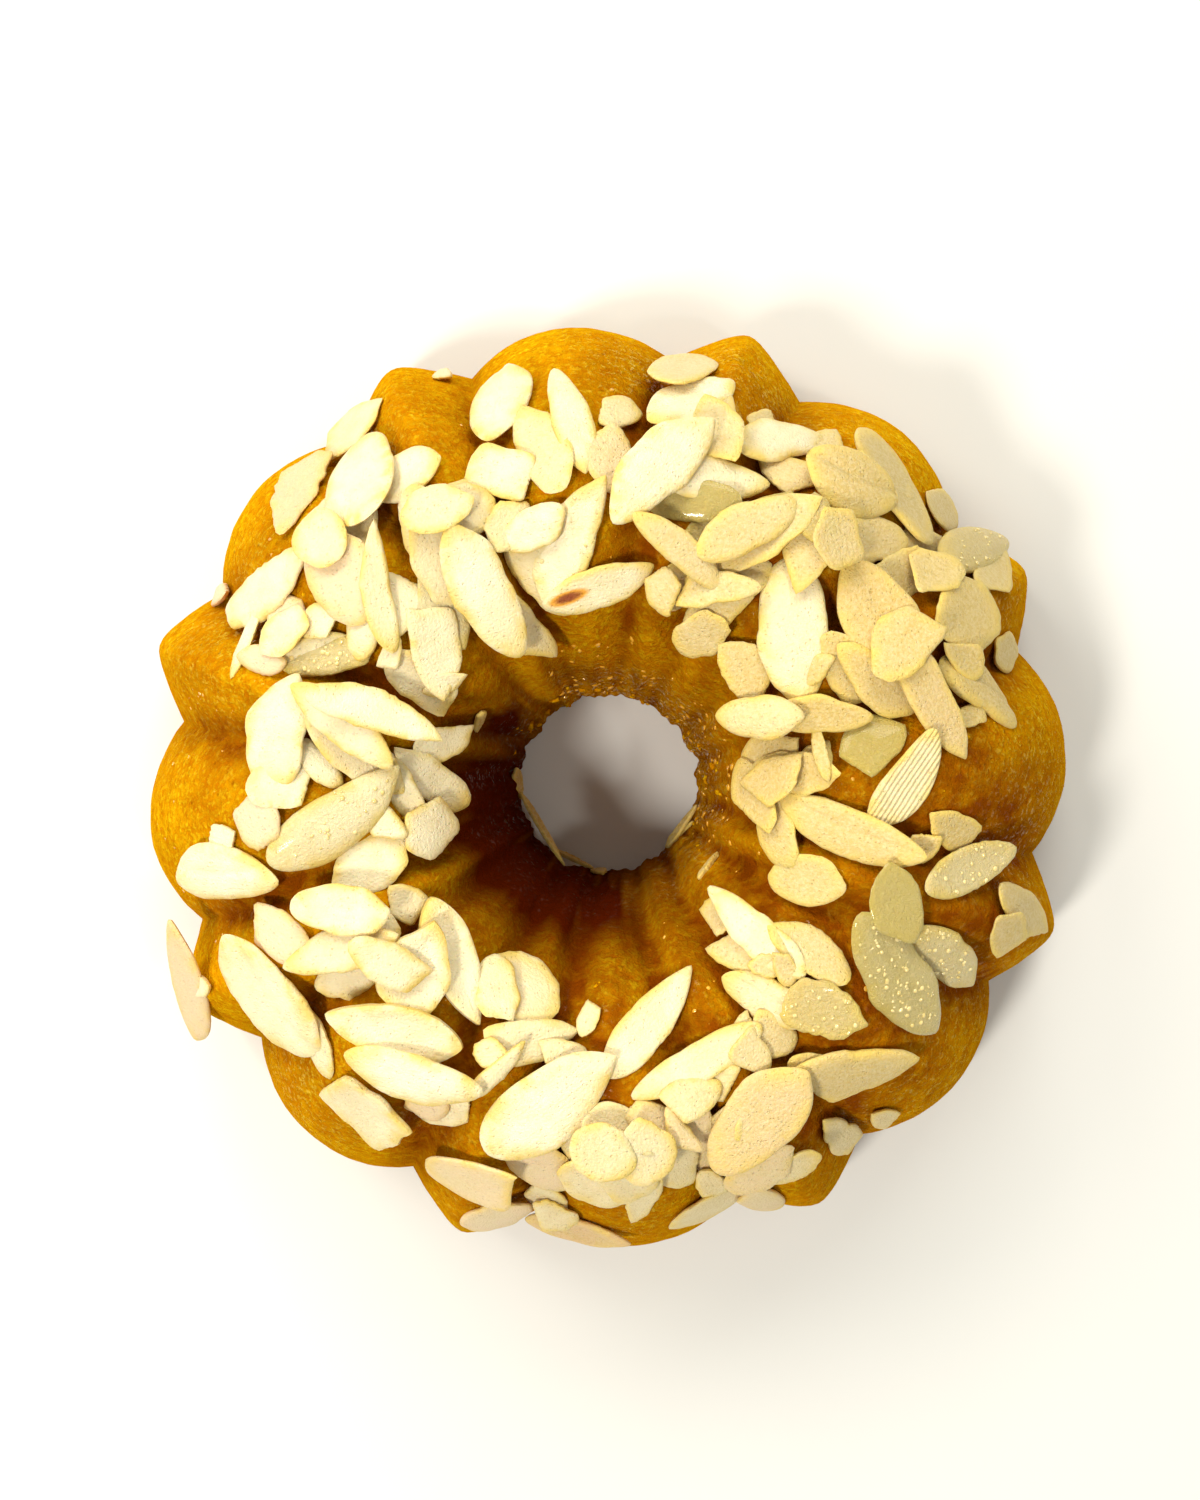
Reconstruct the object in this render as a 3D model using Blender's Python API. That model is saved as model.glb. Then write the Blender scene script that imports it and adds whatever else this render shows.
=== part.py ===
"""A fluted ring cake, turned out of its tin and strewn with sliced almonds.

Run it with: blender --background --python part.py, or from Blender's text editor.

The cake is one solid: a ring with eight round lobes and eight pointed ridges that climb the
side, cross the crown and run down into the hole. The larger almond slices lie on it, each a
solid of its own, resting on the cake or on the slices under it.

Frame: metres, +Z up, origin at the centre of the foot that the cake stands on.
"""

import math
from itertools import combinations

import bmesh
import bpy
import numpy as np
from mathutils import Matrix, Vector
from mathutils.bvhtree import BVHTree

MM = 0.001
UP = Vector((0, 0, 1))

# Ring: the sizes that drive it
LOBE_REACH = 94 * MM  # from the axis to the outside of a round lobe, at the foot
CROWN_REACH = 56 * MM  # from the axis to the top of the ring
HOLE_REACH = 18.3 * MM  # from the axis to the wall of the hole, at the foot
HEIGHT = 74 * MM
OUTER_DRAFT = 1.25  # over 1 leans the outer side in towards the crown
INNER_DRAFT = 0.54  # under 1 keeps the wall of the hole steep, with a tight shoulder
OUTER_FOOT_ROUND = 2.5 * MM
INNER_FOOT_ROUND = 1.5 * MM
ROUND_CORNER = 0.25  # where the rounding of a foot turns, as a share of its size

# Flutes: eight round lobes, with a pointed ridge between each two
FLUTES = 8
FLUTE_PITCH = math.tau / FLUTES
FIRST_RIDGE = math.radians(27.2)
RIDGE_HALF_ANGLE = math.radians(9.0)  # from a ridge's crest to the valleys beside it
# How deep the valleys are, and how far a ridge stands out of the lobes as a share of that
# depth: at the outer foot, half way up, on the crown, on the shoulder of the hole, in the
# hole and at its foot
FLUTE_STATIONS = (-1.0, -0.5, 0.0, 0.35, 0.6, 1.0)
VALLEY_DEPTHS = tuple(depth * MM for depth in (5.6, 6.2, 5.3, 3.8, 1.9, 0.6))
RIDGE_RISES = (0.33, 0.30, 0.05, 0.10, 0.40, 0.40)
CREST_ROUNDING = 0.16  # share of a ridge's half width that its crest is rounded over

RING_STEPS = 120  # round the axis; a ridge's crest and valleys fall on a step
OUTER_STEPS = 9  # down each side of the profile, in even steps of station
INNER_STEPS = 8
SKIN_END = 0.96  # the station where the skin ends and the rounding of a foot starts
TANGENT_STEP = 1e-4  # of station, to either side of where a direction is measured
SHARP_ANGLE = math.radians(40)

# Almond slices
SLICE_SIDES = 12
SLICE_THICKNESS = 1.2 * MM
SLICE_RIM = 0.88  # each face of a slice against its widest outline
REST_GAP = 0.3 * MM
LIFT_STEP = 0.1 * MM
REST_SAMPLES = (9, 5)  # points under a slice, along and across, where it may touch
TIP_SHARE = 0.2  # least width that those points spread over, as a share of the slice's
NO_AREA = 1e-9  # of three supports that stand in one line
OUTER_FOLLOW = 0.85  # share of the cake's own slope that a slice follows outside the crown
INNER_FOLLOW = 0.45  # and inside it, where slices lean out over the hole
MOST_ROCK = math.radians(13)  # how far what lies under a slice may rock it off that slope
# How much a slice narrows towards its point, and how far along its half length it reaches
# before it is broken off
SLICE_SHAPES = {
    "oval": (0.10, 1.00),
    "drop": (0.42, 1.00),
    "blade": (0.28, 1.00),
    "broken": (0.12, 0.45),
}
# Where the larger slices lie, in the order in which they fell: azimuth round the ring in
# degrees, distance from the axis in mm, the way the point faces in plan in degrees, length
# and width in mm, and shape
LARGE_SLICES = (
    (121, 65, 27, 15, 9, "oval"),
    (127, 69, 68, 19, 13, "oval"),
    (135, 78, 82, 17, 10, "broken"),
    (148, 69, 38, 22, 10, "blade"),
    (153, 53, 186, 18, 7, "oval"),
    (168, 56, 76, 21, 14, "drop"),
    (170, 42, 318, 22, 9, "oval"),
    (164, 45, 320, 22, 8, "oval"),
    (159, 40, 340, 25, 8, "blade"),
    (139, 37, 98, 16, 9, "broken"),
    (123, 51, 294, 24, 10, "oval"),
    (119, 41, 117, 25, 11, "oval"),
    (104, 72, 70, 17, 11, "oval"),
    (105, 57, 160, 14, 10, "broken"),
    (96, 44, 64, 24, 12, "drop"),
    (104, 47, 208, 14, 9, "drop"),
    (94, 65, 107, 21, 8, "blade"),
    (89, 36, 20, 20, 8, "blade"),
    (77, 71, 24, 18, 9, "oval"),
    (70, 58, 352, 20, 10, "drop"),
    (79, 57, 227, 26, 11, "oval"),
    (63, 70, 6, 17, 9, "blade"),
    (60, 54, 40, 18, 8, "drop"),
    (71, 44, 320, 20, 6, "oval"),
    (46, 76, 303, 25, 9, "blade"),
    (51, 70, 152, 19, 12, "oval"),
    (40, 44, 96, 26, 13, "oval"),
    (32, 57, 122, 23, 14, "oval"),
    (33, 82, 18, 18, 11, "drop"),
    (16, 69, 320, 19, 9, "drop"),
    (14, 60, 120, 19, 8, "broken"),
    (20, 41, 357, 18, 8, "drop"),
    (26, 31, 180, 15, 8, "oval"),
    (3, 53, 58, 20, 10, "drop"),
    (352, 44, 337, 26, 9, "oval"),
    (349, 66, 20, 19, 9, "blade"),
    (335, 67, 320, 17, 9, "oval"),
    (329, 60, 123, 27, 12, "oval"),
    (319, 36, 137, 22, 9, "drop"),
    (310, 46, 332, 18, 8, "oval"),
    (317, 54, 160, 15, 10, "broken"),
    (312, 65, 10, 25, 12, "drop"),
    (297, 62, 228, 24, 14, "oval"),
    (290, 49, 209, 25, 8, "blade"),
    (283, 40, 52, 24, 10, "drop"),
    (261, 54, 38, 29, 14, "oval"),
    (267, 82, 349, 20, 7, "blade"),
    (251, 72, 352, 17, 10, "broken"),
    (232, 69, 318, 19, 11, "broken"),
    (229, 38, 290, 25, 10, "drop"),
    (224, 43, 70, 18, 12, "oval"),
    (229, 53, 165, 24, 12, "drop"),
    (237, 57, 345, 25, 10, "blade"),
    (212, 68, 305, 26, 13, "oval"),
    (211, 51, 197, 21, 9, "blade"),
    (204, 47, 355, 18, 9, "oval"),
    (185, 45, 37, 28, 13, "drop"),
    (192, 67, 358, 20, 13, "drop"),
    (205, 85, 92, 26, 9, "blade"),
)

# Colours and roughness
CRUST_GOLD = (0.70, 0.33, 0.035, 1.0)
CRUST_ROUGHNESS = 0.5
ALMOND_CREAM = (0.86, 0.74, 0.47, 1.0)
ALMOND_ROUGHNESS = 0.6


def clear_scene():
    for leftover in list(bpy.data.objects):
        bpy.data.objects.remove(leftover)


def new_collection(name):
    group = bpy.data.collections.new(name)
    bpy.context.scene.collection.children.link(group)
    return group


def new_material(name, colour, roughness):
    material = bpy.data.materials.new(name)
    material.use_nodes = True
    shader = material.node_tree.nodes["Principled BSDF"]
    shader.inputs["Base Color"].default_value = colour
    shader.inputs["Roughness"].default_value = roughness
    shader.inputs["Metallic"].default_value = 0.0
    return material


def add_object(name, body, material, group):
    """The bmesh body as a named object of its own."""
    mesh = bpy.data.meshes.new(name)
    body.to_mesh(mesh)
    body.free()
    mesh.materials.append(material)
    made = bpy.data.objects.new(name, mesh)
    group.objects.link(made)
    return made


def ring_outline(station):
    """Radius and height on the ring before it is fluted. Station -1 is the outer foot, 0 the
    crown and 1 the foot of the hole."""
    climb = (1 - abs(station)) * math.pi / 2
    if station <= 0:
        radius = CROWN_REACH + (LOBE_REACH - CROWN_REACH) * math.cos(climb) ** OUTER_DRAFT
    else:
        radius = CROWN_REACH - (CROWN_REACH - HOLE_REACH) * math.cos(climb) ** INNER_DRAFT
    return radius, HEIGHT * math.sin(climb)


def station_of(radius, height):
    """The station of a point on or near the unfluted ring."""
    climb = math.asin(min(max(height / HEIGHT, 0.0), 1.0))
    side = -1 if radius > CROWN_REACH else 1
    return side * (1 - climb / (math.pi / 2))


def outward(station):
    """The way out of the unfluted ring there, as shares along the radius and upwards."""
    if abs(station) == 1:
        return (-station, 0.0)
    before = ring_outline(station - TANGENT_STEP)
    after = ring_outline(station + TANGENT_STEP)
    along = Vector((after[0] - before[0], after[1] - before[1])).normalized()
    return along.y, -along.x


def flute_height(azimuth, station):
    """How far the fluted skin stands out from the unfluted ring, below zero in a valley."""
    depth = float(np.interp(station, FLUTE_STATIONS, VALLEY_DEPTHS))
    rise = float(np.interp(station, FLUTE_STATIONS, RIDGE_RISES))
    from_ridge = abs((azimuth - FIRST_RIDGE + FLUTE_PITCH / 2) % FLUTE_PITCH - FLUTE_PITCH / 2)
    if from_ridge <= RIDGE_HALF_ANGLE:
        across = from_ridge / RIDGE_HALF_ANGLE
        widest = math.hypot(1, CREST_ROUNDING)
        share = (widest - math.hypot(across, CREST_ROUNDING)) / (widest - CREST_ROUNDING)
        return depth * (share * (1 + rise) - 1)
    lobe_half_angle = FLUTE_PITCH / 2 - RIDGE_HALF_ANGLE
    across = (FLUTE_PITCH / 2 - from_ridge) / lobe_half_angle
    return -depth * across**2


def ring_profile():
    """The closed outline that is turned about the axis, from the outer foot over the crown."""
    outer_foot = [
        (LOBE_REACH - OUTER_FOOT_ROUND, 0.0),
        (LOBE_REACH - OUTER_FOOT_ROUND * ROUND_CORNER, OUTER_FOOT_ROUND * ROUND_CORNER),
    ]
    inner_foot = [
        (HOLE_REACH + INNER_FOOT_ROUND * ROUND_CORNER, INNER_FOOT_ROUND * ROUND_CORNER),
        (HOLE_REACH + INNER_FOOT_ROUND, 0.0),
    ]
    outer = [SKIN_END * (step / OUTER_STEPS - 1) for step in range(OUTER_STEPS + 1)]
    inner = [SKIN_END * step / INNER_STEPS for step in range(1, INNER_STEPS + 1)]
    skin = [ring_outline(station) for station in outer + inner]
    return outer_foot + skin + inner_foot


def build_ring(material, group):
    body = bmesh.new()
    corners = [body.verts.new((radius, 0.0, height)) for radius, height in ring_profile()]
    edges = [
        body.edges.new((corner, corners[(index + 1) % len(corners)]))
        for index, corner in enumerate(corners)
    ]
    bmesh.ops.spin(
        body,
        geom=corners + edges,
        cent=(0, 0, 0),
        axis=(0, 0, 1),
        angle=math.tau,
        steps=RING_STEPS,
        use_merge=True,
    )
    bmesh.ops.rotate(
        body, verts=body.verts, cent=(0, 0, 0), matrix=Matrix.Rotation(FIRST_RIDGE, 3, "Z")
    )
    for corner in body.verts:
        radius = math.hypot(corner.co.x, corner.co.y)
        azimuth = math.atan2(corner.co.y, corner.co.x)
        station = station_of(radius, corner.co.z)
        out, up = outward(station)
        height = flute_height(azimuth, station)
        corner.co += height * Vector((out * math.cos(azimuth), out * math.sin(azimuth), up))
    bmesh.ops.recalc_face_normals(body, faces=body.faces)
    ring = add_object("ring_cake", body, material, group)
    ring.data.shade_smooth()
    ring.data.set_sharp_from_angle(angle=SHARP_ANGLE)
    return ring


def slice_outline(along, across, length, width, shape):
    """A point of the unit circle as the same point of a slice's outline."""
    taper, end = SLICE_SHAPES[shape]
    x = length * ((min(along, end) + 1) / (end + 1) - 0.5)
    y = across * width / 2 * (1 - taper * (along + 1) / 2)
    return x, y


def slice_solid(length, width, shape):
    """A slice lying flat about its own middle, widest half way through its thickness."""
    body = bmesh.new()
    half = SLICE_THICKNESS / 2
    bmesh.ops.create_cone(
        body,
        cap_ends=True,
        segments=SLICE_SIDES,
        radius1=SLICE_RIM,
        radius2=1.0,
        depth=half,
        matrix=Matrix.Translation((0, 0, -half / 2)),
    )
    widest = max(body.faces, key=lambda face: face.calc_center_median().z)
    raised = bmesh.ops.extrude_face_region(body, geom=[widest])["geom"]
    bmesh.ops.delete(body, geom=[widest], context="FACES_ONLY")
    top = [part for part in raised if isinstance(part, bmesh.types.BMVert)]
    bmesh.ops.translate(body, verts=top, vec=(0, 0, half))
    bmesh.ops.scale(body, verts=top, vec=(SLICE_RIM, SLICE_RIM, 1))
    for corner in body.verts:
        x, y = slice_outline(corner.co.x, corner.co.y, length, width, shape)
        corner.co.x = x
        corner.co.y = y
    bmesh.ops.recalc_face_normals(body, faces=body.faces)
    return body


class Pile:
    """The cake and the slices laid so far: what the next slice comes to rest on."""

    def __init__(self, ring):
        body = bmesh.new()
        body.from_mesh(ring.data)
        self.trees = [BVHTree.FromBMesh(body)]
        body.free()

    def add(self, body):
        self.trees.append(BVHTree.FromBMesh(body))

    def height(self, point):
        """How high the pile stands there, or None beside it."""
        sky = Vector((point.x, point.y, 2 * HEIGHT))
        falls = [tree.ray_cast(sky, -UP)[3] for tree in self.trees]
        falls = [fall for fall in falls if fall is not None]
        return 2 * HEIGHT - min(falls) if falls else None

    def touches(self, body):
        tree = BVHTree.FromBMesh(body)
        return any(tree.overlap(other) for other in self.trees)


def leaning(normal):
    """Lifts a level slice straight up and down onto the plane with that normal. Seen from
    above it keeps its outline, and it keeps its thickness."""
    steps = (-normal.x / normal.z, -normal.y / normal.z, 1 / normal.z)
    return Matrix(((1, 0, 0), (0, 1, 0), steps)).to_4x4()


def supports_under(frame, length, width, shape, pile):
    """Points x, y of a slice in the frame, each with how far the pile stands above the slice
    there."""
    supports = []
    for along in np.linspace(-1, 1, REST_SAMPLES[0]):
        for across in np.linspace(-1, 1, REST_SAMPLES[1]):
            round_off = max(math.sqrt(1 - along**2), TIP_SHARE)
            x, y = slice_outline(along, across * round_off, length, width, shape)
            point = frame @ Vector((x, y, 0))
            height = pile.height(point)
            if height is not None:
                supports.append((x, y, height - point.z))
    return np.array(supports)


def resting_normal(points):
    """The way a flat slice faces when it comes to rest: on the three points of support, round
    its middle, that hold it highest."""
    corners = points[np.array(list(combinations(range(len(points)), 3)))]
    x, y, height = corners[..., 0], corners[..., 1], corners[..., 2]
    area = (x[:, 1] - x[:, 0]) * (y[:, 2] - y[:, 0]) - (x[:, 2] - x[:, 0]) * (y[:, 1] - y[:, 0])
    area = np.where(np.abs(area) < NO_AREA, np.nan, area)
    first = (x[:, 1] * y[:, 2] - x[:, 2] * y[:, 1]) / area
    second = (x[:, 2] * y[:, 0] - x[:, 0] * y[:, 2]) / area
    third = 1 - first - second
    holds = (first >= 0) & (second >= 0) & (third >= 0)
    middle = first * height[:, 0] + second * height[:, 1] + third * height[:, 2]
    best = corners[int(np.nanargmax(np.where(holds, middle, -1)))]
    slope = np.linalg.solve(np.column_stack((best[:, :2], np.ones(3))), best[:, 2])
    return Vector((-slope[0], -slope[1], 1)).normalized()


def slope_at(reach):
    """The slope that slices follow there, as a normal in the plane of the axis."""
    if reach >= CROWN_REACH:
        share, draft, follow = (reach - CROWN_REACH) / (LOBE_REACH - CROWN_REACH), OUTER_DRAFT, -1
    else:
        share, draft, follow = (CROWN_REACH - reach) / (CROWN_REACH - HOLE_REACH), INNER_DRAFT, 1
    climb = math.acos(share ** (1 / draft))
    out, up = outward(follow * (1 - climb / (math.pi / 2)))
    return UP.slerp(Vector((out, 0, up)), OUTER_FOLLOW if follow < 0 else INNER_FOLLOW)


def rocked(slope, normal):
    """The slope's normal turned towards the resting one, no further than a slice rocks."""
    turn = slope.angle(normal)
    return slope.slerp(normal, min(1, MOST_ROCK / turn)) if turn else slope


def lay_slice(row, pile):
    """One almond slice as a bmesh, at rest on the pile."""
    azimuth, reach, heading, length, width, shape = row
    size = (length * MM, width * MM, shape)
    azimuth, heading = math.radians(azimuth), math.radians(heading)
    origin = Vector((math.cos(azimuth), math.sin(azimuth), 0)) * reach * MM
    level = Matrix.Translation(origin) @ Matrix.Rotation(heading, 4, "Z")
    slope = Matrix.Rotation(azimuth - heading, 3, "Z") @ slope_at(reach * MM)
    normal = rocked(slope, resting_normal(supports_under(level, *size, pile)))
    lying = level @ leaning(normal)
    lying.translation.z += supports_under(lying, *size, pile)[:, 2].max()
    lying.translation.z += (SLICE_THICKNESS / 2 + REST_GAP) / normal.z
    body = slice_solid(*size)
    body.transform(lying)
    while pile.touches(body):
        bmesh.ops.translate(body, verts=body.verts, vec=(0, 0, LIFT_STEP))
    return body


def build_slices(ring, material, group):
    pile = Pile(ring)
    for number, row in enumerate(LARGE_SLICES, start=1):
        body = lay_slice(row, pile)
        pile.add(body)
        add_object(f"almond_slice_{number:02d}", body, material, group)


def main():
    clear_scene()
    group = new_collection("fluted_ring_cake")
    crust = new_material("golden_crust", CRUST_GOLD, CRUST_ROUGHNESS)
    almond = new_material("sliced_almond", ALMOND_CREAM, ALMOND_ROUGHNESS)
    ring = build_ring(crust, group)
    build_slices(ring, almond, group)


main()
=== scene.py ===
# %% [markdown]
# # A fluted ring cake strewn with sliced almonds
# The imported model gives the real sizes: a ring with eight round lobes and eight pointed ridges,
# and the larger almond slices lying on it. This script dresses it. The ring is turned again with
# a much finer skin, every slice gets a rounded rim and a grain, and the smaller slices, slivers
# and crumbs that lie between them are added at their true size. The script starts by loading
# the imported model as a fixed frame, and everything else takes its place from it.

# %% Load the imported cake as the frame
import math
from itertools import combinations

import bmesh
import bpy
import numpy as np
from mathutils import Matrix, Vector, noise
from mathutils.bvhtree import BVHTree


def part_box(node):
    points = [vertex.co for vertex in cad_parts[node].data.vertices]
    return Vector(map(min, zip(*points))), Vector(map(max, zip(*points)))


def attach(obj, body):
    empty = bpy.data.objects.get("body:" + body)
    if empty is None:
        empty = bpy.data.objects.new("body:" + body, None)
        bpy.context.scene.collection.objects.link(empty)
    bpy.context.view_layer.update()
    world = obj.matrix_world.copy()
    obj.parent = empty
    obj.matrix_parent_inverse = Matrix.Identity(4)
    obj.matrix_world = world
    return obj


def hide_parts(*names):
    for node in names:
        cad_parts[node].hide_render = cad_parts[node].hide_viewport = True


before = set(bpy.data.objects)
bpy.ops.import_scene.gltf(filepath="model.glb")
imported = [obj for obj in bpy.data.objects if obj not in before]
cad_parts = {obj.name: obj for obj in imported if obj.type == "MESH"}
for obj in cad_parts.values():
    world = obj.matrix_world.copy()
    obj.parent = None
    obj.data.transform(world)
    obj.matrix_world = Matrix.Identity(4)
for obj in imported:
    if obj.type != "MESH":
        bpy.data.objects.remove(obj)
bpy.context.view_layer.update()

MM = 0.001
UP = Vector((0, 0, 1))
slice_nodes = sorted(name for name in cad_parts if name.startswith("almond_slice"))
print("nodes:", len(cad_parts), "almond slices among them:", len(slice_nodes))

# %% [markdown]
# ## Camera
# A phone held nearly straight above the cake. A perspective camera is the right one: it is only
# 39 cm above the table, so the crown looks larger than the foot, and the outer sides all show.

# %% Camera above the cake
CAMERA_PLACE = (0.010, 0.012, 0.385)
CAMERA_TILT = (-0.75, 1.75, 0.0)  # degrees from straight down

camera_data = bpy.data.cameras.new("camera")
camera_data.sensor_width = 36.0
camera_data.lens = 43.48
camera = bpy.data.objects.new("camera", camera_data)
camera.location = CAMERA_PLACE
camera.rotation_euler = [math.radians(angle) for angle in CAMERA_TILT]
bpy.context.scene.collection.objects.link(camera)
bpy.context.scene.camera = camera
print("camera", camera_data.lens, "mm, at", CAMERA_PLACE)

# %% [markdown]
# ## Small helpers
# A finished piece is a mesh object at the origin with one material, riding on the cake's one
# body. The helpers keep the later cells short.

# %% Helpers for pieces
def piece_from(body, name, material, smooth=True):
    """A bmesh as a finished piece that rides on the cake."""
    mesh = bpy.data.meshes.new(name)
    body.to_mesh(mesh)
    body.free()
    mesh.materials.append(material)
    if smooth:
        mesh.shade_smooth()
    piece = bpy.data.objects.new(name, mesh)
    bpy.context.scene.collection.objects.link(piece)
    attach(piece, "root")
    print(name, len(mesh.vertices), "points,", len(mesh.polygons), "faces")
    return piece


def points_of(body):
    """The places of a bmesh's vertices as an array."""
    return np.array([tuple(corner.co) for corner in body.verts])


def move_points(body, places):
    for corner, place in zip(body.verts, places):
        corner.co = place


def smoothstep(low, high, value):
    share = np.clip((value - low) / (high - low), 0, 1)
    return share * share * (3 - 2 * share)


def noise_at(points, size, seed=0.0):
    """Smooth noise from about -1 to 1 at each point, with bumps of that size."""
    shift = Vector((seed * 7.31, seed * 3.17, seed * 5.71))
    return np.array([noise.noise(Vector(point) / size + shift) for point in points])


# %% [markdown]
# ## Node helpers and shared effects
# Crust, crumbs and almonds all need a fine grain and a soft mottling, each in its own size and
# strength. Such an effect is built once as a node group with named inputs and placed in each
# material with its own values. The shaders themselves stay in the materials.

# %% Helpers for node trees
def add_node(tree, kind, settings=None, **inputs):
    """A node with its settings and unlinked inputs, given by name with _ for a space."""
    made = tree.nodes.new(kind)
    for key, value in (settings or {}).items():
        setattr(made, key, value)
    for key, value in inputs.items():
        made.inputs[key.replace("_", " ")].default_value = value
    return made


def new_group(name, inputs, outputs):
    """An empty node group with float inputs, each with its usual value, and float outputs."""
    tree = bpy.data.node_groups.new(name, "ShaderNodeTree")
    for socket, value in inputs.items():
        made = tree.interface.new_socket(socket, in_out="INPUT", socket_type="NodeSocketFloat")
        made.default_value = value
    for socket in outputs:
        tree.interface.new_socket(socket, in_out="OUTPUT", socket_type="NodeSocketFloat")
    return tree, tree.nodes.new("NodeGroupInput"), tree.nodes.new("NodeGroupOutput")


def place_group(tree, group, **inputs):
    made = tree.nodes.new("ShaderNodeGroup")
    made.node_tree = group
    for key, value in inputs.items():
        made.inputs[key.replace("_", " ")].default_value = value
    return made


def math_node(tree, operation, first, second=None, clamp=False):
    """A Math node; each operand is a socket or a number."""
    made = add_node(tree, "ShaderNodeMath", {"operation": operation, "use_clamp": clamp})
    for slot, value in enumerate((first, second)):
        if value is None:
            continue
        if isinstance(value, (int, float)):
            made.inputs[slot].default_value = value
        else:
            tree.links.new(value, made.inputs[slot])
    return made.outputs[0]


def mix_colour(tree, share, first, second):
    """A colour mixed from two; share is a socket, and a colour is a tuple or a socket."""
    made = add_node(tree, "ShaderNodeMix", {"data_type": "RGBA"})
    tree.links.new(share, made.inputs["Factor"])
    for slot, value in ((6, first), (7, second)):
        if isinstance(value, tuple):
            made.inputs[slot].default_value = (*value, 1.0)
        else:
            tree.links.new(value, made.inputs[slot])
    return made.outputs[2]


def ranged(tree, value, low, high, to_low=0.0, to_high=1.0):
    """A value brought from one range to another, smoothly and clamped."""
    made = add_node(tree, "ShaderNodeMapRange", {"interpolation_type": "SMOOTHSTEP"})
    tree.links.new(value, made.inputs["Value"])
    for name, number in (("From Min", low), ("From Max", high), ("To Min", to_low), ("To Max", to_high)):
        made.inputs[name].default_value = number
    return made.outputs["Result"]


def attribute(tree, name):
    return add_node(tree, "ShaderNodeAttribute", {"attribute_name": name}).outputs["Fac"]


def new_material(name, roughness, **inputs):
    """A material with its tree, its shader, and the place on the surface."""
    material = bpy.data.materials.new(name)
    material.use_nodes = True
    tree = material.node_tree
    shader = tree.nodes["Principled BSDF"]
    shader.inputs["Roughness"].default_value = roughness
    for key, value in inputs.items():
        shader.inputs[key.replace("_", " ")].default_value = value
    place = tree.nodes.new("ShaderNodeTexCoord").outputs["Object"]
    return material, tree, shader, place


# %% Grain: fine relief with pores
def make_grain_group():
    """Height of a baked or cut surface: soft bumps, with small round pores sunk into it."""
    tree, given, out = new_group(
        "food_grain", {"Bump Scale": 900.0, "Pore Scale": 420.0, "Pore Share": 0.5}, ["Height", "Pores"]
    )
    place = tree.nodes.new("ShaderNodeTexCoord").outputs["Object"]
    bumps = add_node(tree, "ShaderNodeTexNoise", Detail=4.0, Roughness=0.62)
    cells = add_node(tree, "ShaderNodeTexVoronoi", {"feature": "F1"}, Randomness=1.0)
    for texture, scale in ((bumps, "Bump Scale"), (cells, "Pore Scale")):
        tree.links.new(place, texture.inputs["Vector"])
        tree.links.new(given.outputs[scale], texture.inputs["Scale"])
    hollow = ranged(tree, cells.outputs["Distance"], 0.05, 0.34, 1.0, 0.0)
    chosen = math_node(tree, "LESS_THAN", cells.outputs["Color"], given.outputs["Pore Share"])
    pores = math_node(tree, "MULTIPLY", hollow, chosen)
    height = math_node(tree, "SUBTRACT", bumps.outputs["Fac"], math_node(tree, "MULTIPLY", pores, 0.8))
    tree.links.new(height, out.inputs["Height"])
    tree.links.new(pores, out.inputs["Pores"])
    return tree


food_grain = make_grain_group()
print("node group", food_grain.name)


# %% Mottling: soft blotches of two sizes
def make_mottle_group():
    """Blotches from 0 to 1, large ones with smaller ones in them."""
    tree, given, out = new_group("mottle", {"Large Scale": 60.0, "Small Scale": 330.0}, ["Blotch", "Speckle"])
    place = tree.nodes.new("ShaderNodeTexCoord").outputs["Object"]
    large = add_node(tree, "ShaderNodeTexNoise", Detail=3.0, Roughness=0.55, Distortion=0.3)
    small = add_node(tree, "ShaderNodeTexNoise", Detail=5.0, Roughness=0.7, Distortion=0.2)
    for texture, scale in ((large, "Large Scale"), (small, "Small Scale")):
        tree.links.new(place, texture.inputs["Vector"])
        tree.links.new(given.outputs[scale], texture.inputs["Scale"])
    tree.links.new(ranged(tree, large.outputs["Fac"], 0.3, 0.7), out.inputs["Blotch"])
    tree.links.new(ranged(tree, small.outputs["Fac"], 0.32, 0.68), out.inputs["Speckle"])
    return tree


mottle = make_mottle_group()
print("node group", mottle.name)

# %% [markdown]
# ## The crust
# A syrup-soaked golden crust: bright gold on the lobes, brown where syrup ran down the valleys
# and into the hole, with fine pores and darker specks. Part of that brown is painted shade: in the
# valleys, on the crown's right side, on the lower right side and deep in the hole, darkest on the
# hole's wall away from the lamp; the pores are darkened as painted shade too. The ring's mesh
# carries how deep a point lies in a valley and in the hole, so the colour follows the shape, and
# noise breaks it up.

# %% Crust material
GOLD = (0.98, 0.485, 0.002)
DEEP_GOLD = (0.70, 0.235, 0.001)
FLECK = (1.0, 0.74, 0.010)
# the next three browns: syrup-soaked crust that also carries painted shade, painted shade deep in the hole with torn
# crumb, and painted shade in the pores
SOAK_AND_SHADE_BROWN = (0.27, 0.062, 0.001)
WELL_SHADE_AND_CRUMB_BROWN = (0.10, 0.011, 0.0006)
PORE_SHADE_BROWN = (0.20, 0.045, 0.001)


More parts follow.
